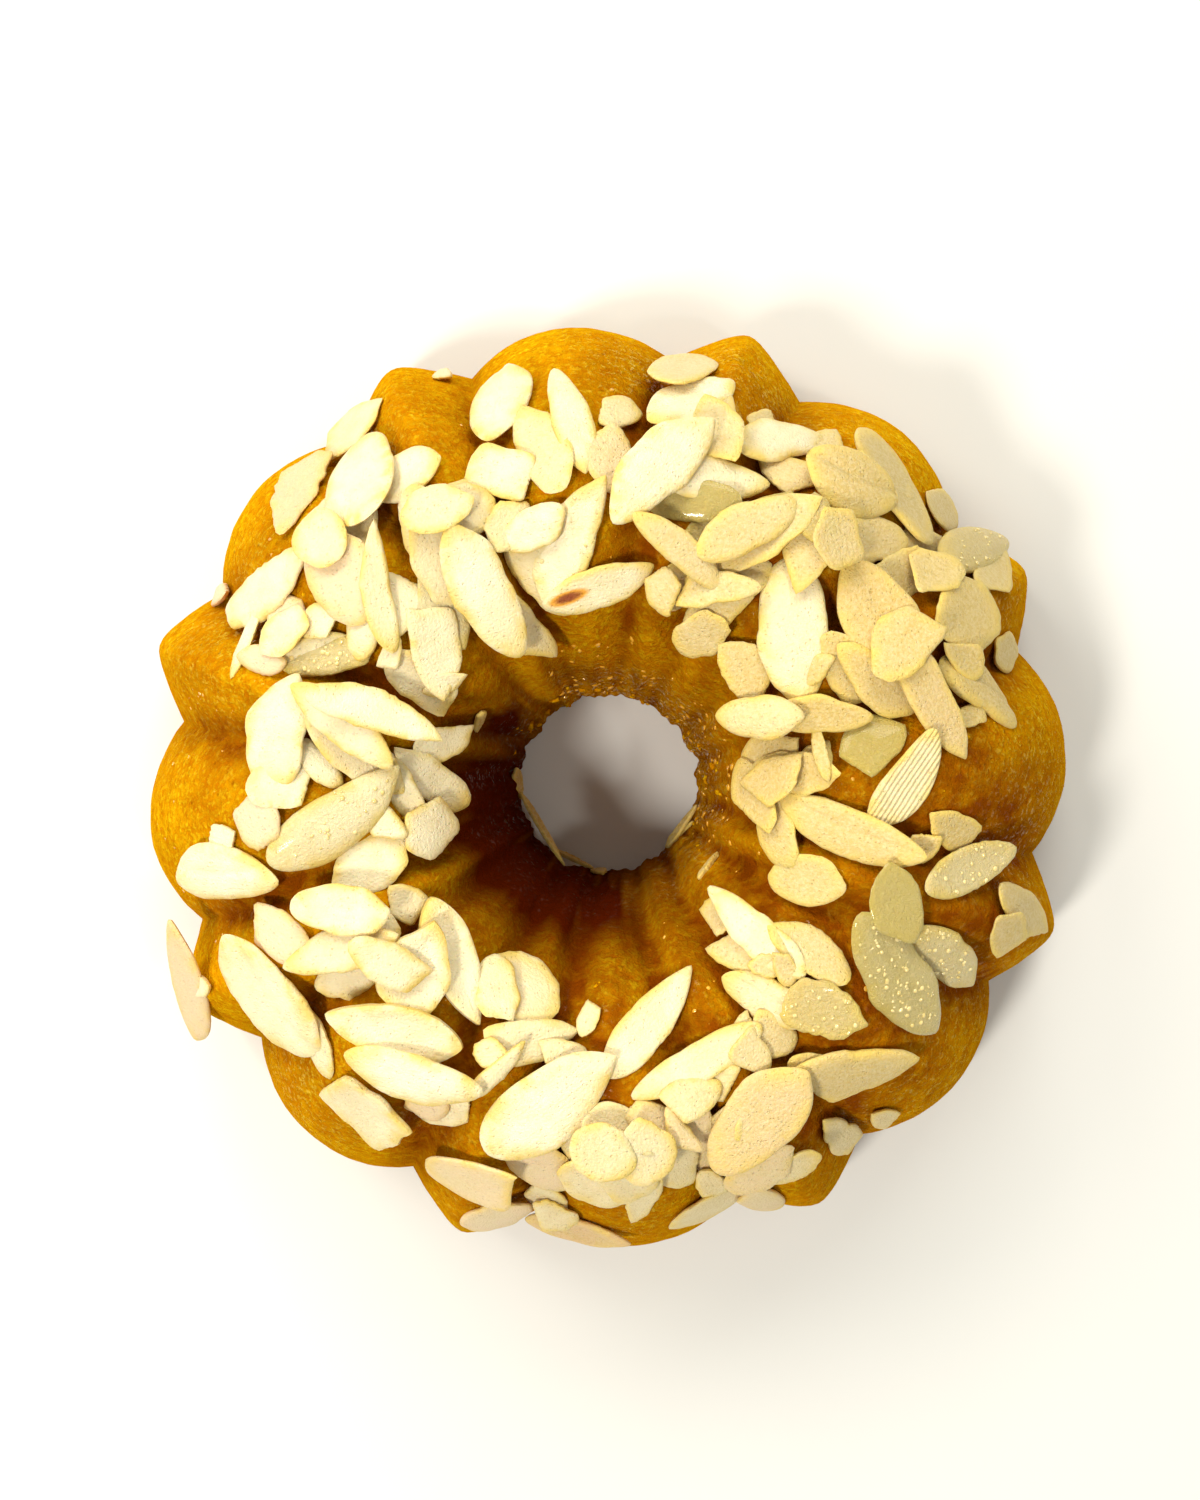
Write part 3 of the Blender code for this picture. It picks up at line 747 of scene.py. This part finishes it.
# %% [markdown]
# ## The smaller slices
# Between and under the larger slices lie as many smaller ones. Each gets a listed place
# and comes to rest by itself: it is dropped on the cake, takes the slope it finds under it, and
# is eased towards level, as syrup holds it by its upper edge.

# %% Where the smaller slices lie
# how much each kind narrows towards its point, and how many straight breaks it has
KINDS = {"disk": (0.0, 0), "oval": (0.12, 0), "blade": (0.5, 0), "broken": (0.15, 1), "shard": (0.4, 1),
         "chip": (0.1, 2)}
# azimuth in degrees, distance from the axis in mm, heading in degrees, length and width in mm,
# kind, and how wet it is: first those that lie on the cake, then those that fell last
SLICES_BENEATH = (
    (125, 82, 38, 16, 8, "broken", 0), (99, 61, 115, 16, 9, "oval", 0),
    (104, 40, 130, 15, 9, "broken", 0), (113, 55, 20, 12, 9, "chip", 0),
    (133, 65, 100, 14, 11, "disk", 0), (134, 48, 83, 13, 7, "chip", 0),
    (147, 37, 140, 15, 8, "broken", 0), (155, 60, 168, 12, 6, "chip", 0),
    (151, 62, 115, 12, 8, "broken", 0), (155, 68, 72, 16, 3, "blade", 0),
    (161, 29, 30, 10, 6, "broken", 0), (174, 31, 142, 15, 8, "shard", 0),
    (176, 35, 118, 15, 6, "shard", 0), (114, 32, 120, 14, 7, "shard", 0), (153, 82, 20, 6, 4, "chip", 0),
    (79, 78, 15, 12, 8, "disk", 0), (88, 67, 178, 10, 6, "chip", 0), (88, 59, 112, 15, 8, "broken", 0),
    (73, 70, 75, 11, 7, "broken", 0), (57, 74, 60, 8, 6, "broken", 0), (59, 65, 150, 11, 8, "shard", 0),
    (48, 75, 140, 13, 9, "broken", 0), (40, 83, 115, 10, 7, "broken", 0), (38, 74, 45, 12, 8, "chip", 0),
    (29, 82, 60, 12, 8, "broken", 0), (26, 72, 100, 13, 12, "disk", 0), (44, 63, 10, 15, 9, "oval", 0),
    (50, 56, 70, 16, 9, "shard", 0), (65, 49, 15, 13, 8, "disk", 0.5), (73, 53, 175, 17, 7, "oval", 1),
    (68, 38, 110, 9, 5, "broken", 0), (59, 44, 15, 14, 9, "disk", 0), (58, 38, 5, 13, 7, "chip", 0),
    (57, 33, 10, 9, 7, "disk", 0), (39, 34, 140, 13, 9, "broken", 0), (13, 31, 60, 13, 8, "broken", 0),
    (9, 38, 70, 10, 5, "broken", 0), (6, 34, 5, 14, 8, "broken", 0), (11, 48, 50, 13, 9, "chip", 0.9),
    (19, 79, 80, 7, 6, "oval", 0), (26, 49, 140, 16, 9, "broken", 0), (184, 59, 110, 11, 8, "chip", 0),
    (187, 66, 160, 8, 5, "chip", 0), (197, 41, 30, 15, 9, "broken", 0),
    (203, 61, 150, 14, 8, "broken", 0), (206, 82, 20, 6, 4, "broken", 0), (210, 38, 150, 9, 6, "chip", 0),
    (216, 52, 25, 14, 9, "shard", 0), (221, 46, 148, 14, 7, "broken", 0),
    (245, 60, 20, 12, 7, "broken", 0), (241, 62, 170, 9, 5, "broken", 0),
    (248, 36, 150, 14, 10, "oval", 0), (243, 38, 100, 12, 7, "broken", 0),
    (254, 44, 8, 17, 9, "shard", 0), (268, 38, 70, 7, 4, "shard", 0), (247, 48, 10, 7, 5, "chip", 0),
    (256, 81, 24, 14, 7, "oval", 0), (262, 74, 130, 10, 7, "chip", 0), (263, 78, 170, 9, 7, "broken", 0),
    (261, 66, 145, 14, 9, "oval", 0), (266, 59, 100, 9, 6, "broken", 0),
    (270, 68, 160, 13, 10, "disk", 0), (191, 30, 105, 11, 8, "chip", 0),
    (177, 53, 15, 14, 9, "broken", 0), (313, 37, 162, 13, 7, "chip", 0), (314, 30, 60, 8, 6, "chip", 0),
    (324, 45, 147, 15, 7, "oval", 0), (338, 39, 172, 12, 8, "disk", 0), (351, 31, 105, 15, 7, "shard", 0),
    (358, 27, 100, 13, 7, "broken", 0), (354, 63, 150, 11, 7, "chip", 0), (352, 57, 60, 8, 5, "chip", 0),
    (344, 80, 132, 16, 7, "broken", 0), (341, 77, 95, 11, 7, "chip", 0), (289, 64, 75, 16, 6, "oval", 0),
    (302, 48, 65, 9, 5, "broken", 0), (306, 51, 120, 9, 7, "oval", 0), (293, 53, 170, 11, 7, "broken", 0),
    (305, 77, 130, 12, 7, "shard", 0), (311, 80, 150, 7, 5, "broken", 0),
    (286, 61, 80, 12, 6, "broken", 0), (282, 66, 100, 10, 8, "oval", 0), (273, 58, 140, 12, 9, "chip", 0),
    (277, 64, 110, 9, 7, "oval", 0), (276, 73, 60, 12, 5, "shard", 0), (285, 79, 40, 18, 7, "broken", 0),
    (291, 80, 140, 13, 8, "shard", 0), (297, 74, 20, 11, 7, "broken", 0),
    (286, 73, 120, 8, 5, "broken", 0), (280, 57, 150, 12, 6, "broken", 0),
    (315, 41, 165, 7, 4, "broken", 0),
    (153, 54, 12, 14, 7, "broken", 0.1), (158, 63, 172, 9, 5, "oval", 0), (147, 56, 20, 9, 6, "chip", 0),
    (152, 61, 45, 11, 7, "broken", 0), (143, 50, 80, 13, 6, "broken", 0), (146, 43, 70, 9, 4, "shard", 0),
    (144, 33, 20, 8, 4, "shard", 0), (115, 54, 20, 10, 9, "disk", 0), (130, 42, 100, 16, 9, "chip", 0.3),
    (108, 49, 60, 9, 7, "disk", 0), (173, 49, 130, 11, 5, "shard", 0), (111, 85, 10, 4, 3, "chip", 0),
    (124, 48, 115, 18, 9, "broken", 0.1), (160, 45, 150, 14, 6, "shard", 0),
    (72, 66, 100, 13, 9, "broken", 0), (66, 73, 20, 7, 4, "chip", 0), (52, 60, 110, 9, 6, "chip", 0.5),
    (57, 54, 35, 19, 8, "oval", 0), (62, 40, 5, 15, 6, "broken", 0), (72, 37, 110, 9, 6, "chip", 0),
    (47, 60, 100, 12, 8, "chip", 0), (36, 66, 30, 15, 8, "broken", 0), (22, 52, 140, 16, 8, "oval", 0),
    (21, 68, 130, 9, 6, "chip", 0), (12, 67, 10, 8, 4, "shard", 0), (31, 42, 20, 9, 5, "chip", 0),
    (12, 39, 100, 10, 3, "blade", 0), (5, 30, 40, 12, 7, "broken", 0), (189, 37, 120, 9, 6, "chip", 0),
    (221, 66, 110, 13, 5, "oval", 0.2), (262, 45, 160, 10, 6, "shard", 0), (250, 50, 45, 13, 4, "blade", 0),
    (208, 47, 160, 14, 8, "broken", 0), (232, 55, 150, 14, 8, "broken", 0), (284, 60, 120, 10, 5, "shard", 0),
    (301, 50, 120, 10, 6, "chip", 0), (318, 43, 110, 8, 4, "shard", 0), (294, 72, 30, 15, 8, "broken", 0),
    (299, 62, 40, 14, 8, "broken", 0), (309, 62, 160, 12, 7, "broken", 0.2), (287, 54, 20, 11, 7, "broken", 0),
    (275, 66, 60, 12, 9, "disk", 0),
)
SLICES_ON_TOP = (
    (139, 58, 120, 17, 12, "oval", 0), (136, 52, 97, 20, 6, "blade", 0), (34, 70, 10, 13, 8, "chip", 0),
    (27, 59, 45, 15, 10, "broken", 0), (340, 54, 100, 14, 9, "broken", 1), (137, 65, 95, 10, 9, "disk", 0),
    (61, 52, 30, 17, 8, "oval", 0), (278, 61, 100, 11, 9, "disk", 0), (271, 60, 150, 11, 9, "disk", 0),
    (219, 45, 150, 15, 7, "broken", 0), (119, 56, 15, 12, 8, "oval", 0),
)
print("smaller slices:", len(SLICES_BENEATH) + len(SLICES_ON_TOP))

# %% What a dropped slice comes to rest on
OUTER_FOLLOW, INNER_FOLLOW = 0.9, 0.5  # share of the cake's own slope that a slice follows
MOST_ROCK = math.radians(16)
REST_GAP = 0.12 * MM
MOST_SINK = 1.1 * MM  # how far a wet slice presses in among its neighbours
UNDERLAP = 1.12  # how much larger a slice is than what shows beside its neighbours


def tree_of(obj):
    body = bmesh.new()
    body.from_mesh(obj.data)
    made = BVHTree.FromBMesh(body)
    body.free()
    return made


ring_tree = tree_of(ring)
large_tree = tree_of(large_slices)
small_trees = []


def height_under(point, trees):
    sky = Vector((point.x, point.y, 2 * HEIGHT))
    falls = [tree.ray_cast(sky, -UP)[3] for tree in trees]
    falls = [fall for fall in falls if fall is not None]
    return 2 * HEIGHT - min(falls) if falls else None


def leaning(normal):
    """Lifts what lies level onto the plane with that normal, and keeps its outline seen from above."""
    steps = (-normal.x / normal.z, -normal.y / normal.z, 1 / normal.z)
    return Matrix(((1, 0, 0), (0, 1, 0), steps)).to_4x4()


def slope_at(reach):
    """The slope that slices follow at a distance from the axis, as a normal beside the axis."""
    outer = reach >= CROWN_REACH
    span, draft = (LOBE_REACH - CROWN_REACH, OUTER_DRAFT) if outer else (CROWN_REACH - HOLE_REACH, INNER_DRAFT)
    climb = math.acos((abs(reach - CROWN_REACH) / span) ** (1 / draft))
    out, up = outward(np.array([(-1 if outer else 1) * (1 - climb / (math.pi / 2))]))
    return UP.slerp(Vector((out[0], 0, up[0])), OUTER_FOLLOW if outer else INNER_FOLLOW)


# %% How a dropped slice settles
def supports_under(turn, rim, trees):
    found = []
    for share in (0.35, 0.7, 1.0):
        for x, y in rim * share:
            point = turn @ Vector((x, y, 0))
            height = height_under(point, trees)
            if height is not None:
                found.append((x, y, height - point.z))
    return np.array(found)


def resting_normal(points):
    """A flat slice rests on the three supports round its middle that hold it highest."""
    corners = points[np.array(list(combinations(range(len(points)), 3)))]
    x, y, height = corners[..., 0], corners[..., 1], corners[..., 2]
    area = (x[:, 1] - x[:, 0]) * (y[:, 2] - y[:, 0]) - (x[:, 2] - x[:, 0]) * (y[:, 1] - y[:, 0])
    area = np.where(np.abs(area) < 1e-9, np.nan, area)
    first = (x[:, 1] * y[:, 2] - x[:, 2] * y[:, 1]) / area
    second = (x[:, 2] * y[:, 0] - x[:, 0] * y[:, 2]) / area
    third = 1 - first - second
    holds = (first >= 0) & (second >= 0) & (third >= 0)
    middle = first * height[:, 0] + second * height[:, 1] + third * height[:, 2]
    best = corners[int(np.nanargmax(np.where(holds, middle, -1)))]
    slope = np.linalg.solve(np.column_stack((best[:, :2], np.ones(3))), best[:, 2])
    return Vector((-slope[0], -slope[1], 1)).normalized()


def rocked(slope, normal):
    """The slope's normal turned towards the resting one, no further than a slice rocks."""
    turn = slope.angle(normal)
    return slope.slerp(normal, min(1, MOST_ROCK / turn)) if turn else slope


def drop_outline(length, width, taper):
    """A slice's outline, blunt at one end and narrower at the other."""
    angles = np.linspace(0, math.tau, 14, endpoint=False)
    x = np.cos(angles) * length / 2
    y = np.sin(angles) * width / 2 * (1 - taper * (np.cos(angles) + 1) / 2)
    return np.stack([x, y], axis=1)


def settled(azimuth, reach, heading, rim, trees):
    """The place of a slice dropped there."""
    azimuth, heading = math.radians(azimuth), math.radians(heading)
    origin = Vector((math.cos(azimuth), math.sin(azimuth), 0)) * reach * MM
    level = Matrix.Translation(origin) @ Matrix.Rotation(heading, 4, "Z")
    slope = Matrix.Rotation(azimuth - heading, 3, "Z") @ slope_at(reach * MM)
    normal = rocked(slope, resting_normal(supports_under(level, rim, trees)))
    lying = level @ leaning(normal)
    lift = supports_under(lying, rim, trees)[:, 2]
    lying.translation.z += max(np.quantile(lift, 0.75), lift.max() - MOST_SINK)
    lying.translation.z += (THICKNESS / 2 + REST_GAP) / normal.z
    return lying


# %% Drop the smaller slices
def drop_slices(rows, trees, first_seed):
    made = []
    for number, (azimuth, reach, heading, length, width, kind, wet) in enumerate(rows, first_seed):
        taper, cuts = KINDS[kind]
        rim = drop_outline(length * UNDERLAP * MM, width * UNDERLAP * MM, taper)
        turn = settled(azimuth, reach, heading, rim, [ring_tree, *small_trees, *trees])
        # painted shade: slices towards the right, away from the window, are given a darker honey tone
        shaded_side = (1 + math.cos(math.radians(azimuth - 10))) / 2
        rosy = 0.6 * (number % 3 == 0) * (reach > CROWN_REACH / MM) * (1 - shaded_side)
        body, marks = fine_slice(rim, turn, number, SMALL_SIDES, SMALL_RINGS, cuts=cuts, wet=wet, rosy=rosy,
                                 tone=0.1 + 0.8 * shaded_side, ragged=0.08, dome=0.5 * (number % 3 == 0))
        small_trees.append(BVHTree.FromBMesh(body))
        made.append((body, marks))
    return made


made = drop_slices(SLICES_BENEATH, [], 100) + drop_slices(SLICES_ON_TOP, [large_tree], 300)

# %% [markdown]
# ## Slivers in the hole
# A few thin slivers fell into the hole and lean on its wall. Each is a slice again, only long
# and narrow. It is given by where its middle lies, and its two ends touch the wall.

# %% Slivers in the hole: azimuth in degrees, height and length in mm, slant in degrees, width in mm
SLIVERS = (
    (215, 15, 19, 10, 2.5), (180, 12, 7, -20, 4), (245, 5, 10, 0, 1.5), (265, 8, 6, 70, 4),
    (330, 13, 13, 30, 3), (325, 12, 9, 35, 1.5), (325, 50, 7, -30, 1.5), (150, 54, 6, -40, 3),
)


def hole_wall(azimuth, height):
    """The point of the hole's wall in that direction from the axis, half a slice clear of it."""
    outwards = Vector((math.cos(azimuth), math.sin(azimuth), 0))
    return ring_tree.ray_cast(UP * height, outwards)[0] - outwards * THICKNESS / 2


def sliver(azimuth, height, length, slant, width, seed):
    azimuth, height, length, slant = math.radians(azimuth), height * MM, length * MM, math.radians(slant)
    half_turn = math.asin(length * math.cos(slant) / 2 / hole_wall(azimuth, height).xy.length)
    half_rise = length * math.sin(slant) / 2
    start = hole_wall(azimuth - half_turn, height - half_rise)
    end = hole_wall(azimuth + half_turn, height + half_rise)
    along = (end - start).normalized()
    middle = (start + end) / 2
    facing = Vector((-middle.x, -middle.y, 0)).normalized() + UP * 0.6
    normal = (facing - along * facing.dot(along)).normalized()
    turn = Matrix((along, normal.cross(along), normal)).transposed().to_4x4()
    turn.translation = middle
    rim = drop_outline((end - start).length, width * MM, 0.5)
    return fine_slice(rim, turn, seed, SMALL_SIDES, SMALL_RINGS, tone=1.0, thin=0.8, ragged=0.12)


made += [sliver(*row, 500 + number) for number, row in enumerate(SLIVERS)]
small_slices = join_slices(made, "small_slices")

# %% [markdown]
# ## Crumbs, bits and beads of syrup
# Crumbs broke off the crust where it tore, small bits of almond lie among the slices, and syrup
# stands in tiny beads round the hole and on the crown, which give the wet glints. These are
# many, so each starts from a ball with few faces, squashed and roughened.

# %% One small lump on the cake's skin
def lump(whole, point, normal, size, flatness, roughness, seed):
    """A small ball with few faces, squashed against the skin and roughened; adds to the bmesh."""
    made = bmesh.ops.create_uvsphere(whole, u_segments=8, v_segments=5, radius=1.0)["verts"]
    chance = np.random.default_rng(seed)
    turn = normal.to_track_quat("Z", "Y").to_matrix() @ Matrix.Rotation(chance.uniform(0, 6.3), 3, "Z")
    stretch = Vector((1, chance.uniform(0.6, 1.0), flatness))
    for corner in made:
        swell = 1 + roughness * chance.uniform(-1, 1)
        corner.co = point + turn @ (corner.co * stretch * size * swell)


def skin_point(azimuth, station):
    """A point of the finished crust and its normal, from an azimuth in degrees and a station."""
    radius, height = ring_outline(np.array([station]))
    azimuth = math.radians(azimuth)
    near = Vector((radius[0] * math.cos(azimuth), radius[0] * math.sin(azimuth), height[0]))
    found = ring_tree.find_nearest(near)
    return found[0], found[1]


# %% Scatter them: how many, azimuths, stations, sizes in mm, flatness and roughness
def scatter(name, material, fields, seed):
    chance = np.random.default_rng(seed)
    whole = bmesh.new()
    for count, azimuths, stations, sizes, flatness, roughness in fields:
        for _ in range(count):
            point, normal = skin_point(chance.uniform(*azimuths), chance.uniform(*stations))
            size = chance.uniform(*sizes) ** 2 / sizes[1] * MM
            lump(whole, point, normal, size, flatness, roughness, int(chance.integers(1e6)))
    bmesh.ops.recalc_face_normals(whole, faces=whole.faces)
    return piece_from(whole, name, material)


def make_syrup(name, dark, light):
    material, tree, shader, place = new_material(name, 0.06, Specular_IOR_Level=0.6, Coat_Weight=0.6)
    tones = place_group(tree, mottle, Large_Scale=300.0, Small_Scale=900.0)
    colour = mix_colour(tree, tones.outputs["Blotch"], dark, light)
    tree.links.new(colour, shader.inputs["Base Color"])
    return material


crumbs = scatter("crust_crumbs", crust, (
    (40, (60, 160), (0.7, 0.93), (0.3, 1.1), 0.7, 0.35), (30, (-40, 60), (0.6, 0.93), (0.3, 0.9), 0.7, 0.35),
    (40, (0, 360), (-0.35, 0.3), (0.2, 0.6), 0.7, 0.35),
), 11)
syrup = scatter("syrup_beads", make_syrup("clear_syrup", (0.62, 0.28, 0.012), (0.80, 0.42, 0.03)), (
    (150, (-30, 115), (0.42, 0.9), (0.25, 0.8), 0.45, 0.12), (70, (-70, 60), (-0.1, 0.45), (0.2, 0.6), 0.45, 0.1),
    (36, (165, 200), (-0.6, -0.2), (0.15, 0.45), 0.4, 0.1), (40, (60, 160), (-0.4, 0.2), (0.15, 0.5), 0.4, 0.1),
), 12)

# %% Beads of syrup that stand on the wet slices, more of them the wetter a slice is
BEADS_ON_WET = 90


def bead_wet_slices():
    chance = np.random.default_rng(14)
    whole = bmesh.new()
    for turn, half_size, wet in wet_slices:
        for _ in range(round(BEADS_ON_WET * wet)):
            angle, share = chance.uniform(0, math.tau), math.sqrt(chance.uniform(0, 0.7))
            spot = Vector((math.cos(angle) * half_size[0], math.sin(angle) * half_size[1], 0)) * share
            found = large_tree.ray_cast(turn @ spot + UP * 10 * MM, -UP)
            size = chance.uniform(0.15, 0.55) * MM
            if found[0]:
                lump(whole, found[0], found[1], size, 0.5, 0.1, int(chance.integers(1e6)))
    bmesh.ops.recalc_face_normals(whole, faces=whole.faces)
    return piece_from(whole, "slice_beads", make_syrup("almond_syrup", (0.66, 0.50, 0.16), (0.85, 0.70, 0.32)))


bead_wet_slices()

# %% [markdown]
# ## Floor and light
# A pale floor and one broad soft light from the left, like a window, with a weaker one above.
# The far side of the cake and the hole fall into a warm shade.

# %% Floor
def make_floor():
    material, tree, shader, place = new_material("pale_floor", 0.5)
    shader.inputs["Base Color"].default_value = (0.72, 0.72, 0.69, 1.0)
    body = bmesh.new()
    bmesh.ops.create_grid(body, x_segments=2, y_segments=2, size=1.5)
    mesh = bpy.data.meshes.new("floor")
    body.to_mesh(mesh)
    body.free()
    mesh.materials.append(material)
    made = bpy.data.objects.new("floor", mesh)
    bpy.context.scene.collection.objects.link(made)


make_floor()


# %% Lights
def area_light(name, place, size, power, colour):
    data = bpy.data.lights.new(name, "AREA")
    data.shape = "DISK"
    data.size = size
    data.energy = power
    data.color = colour
    made = bpy.data.objects.new(name, data)
    made.location = place
    made.rotation_euler = (-Vector(place)).to_track_quat("-Z", "Y").to_euler()
    bpy.context.scene.collection.objects.link(made)


def around(azimuth, elevation, distance):
    azimuth, elevation = math.radians(azimuth), math.radians(elevation)
    flat = math.cos(elevation) * distance
    return (math.cos(azimuth) * flat, math.sin(azimuth) * flat, math.sin(elevation) * distance)


area_light("window", around(138, 42, 1.1), 0.6, 6.4, (1.0, 0.94, 0.84))
area_light("lamp", around(222, 63, 0.9), 0.14, 4.9, (1.0, 0.95, 0.87))
area_light("ceiling", around(84, 42, 1.2), 0.7, 7.8, (1.0, 0.99, 0.92))
area_light("bulb", around(325, 66, 1.0), 0.06, 1.0, (1.0, 0.97, 0.9))
world = bpy.data.worlds.new("room")
world.use_nodes = True
background = world.node_tree.nodes["Background"]
background.inputs["Color"].default_value = (0.92, 0.93, 0.88, 1.0)
background.inputs["Strength"].default_value = 0.44
bpy.context.scene.world = world
bpy.context.scene.view_settings.view_transform = "Standard"
bpy.context.scene.view_settings.look = "None"
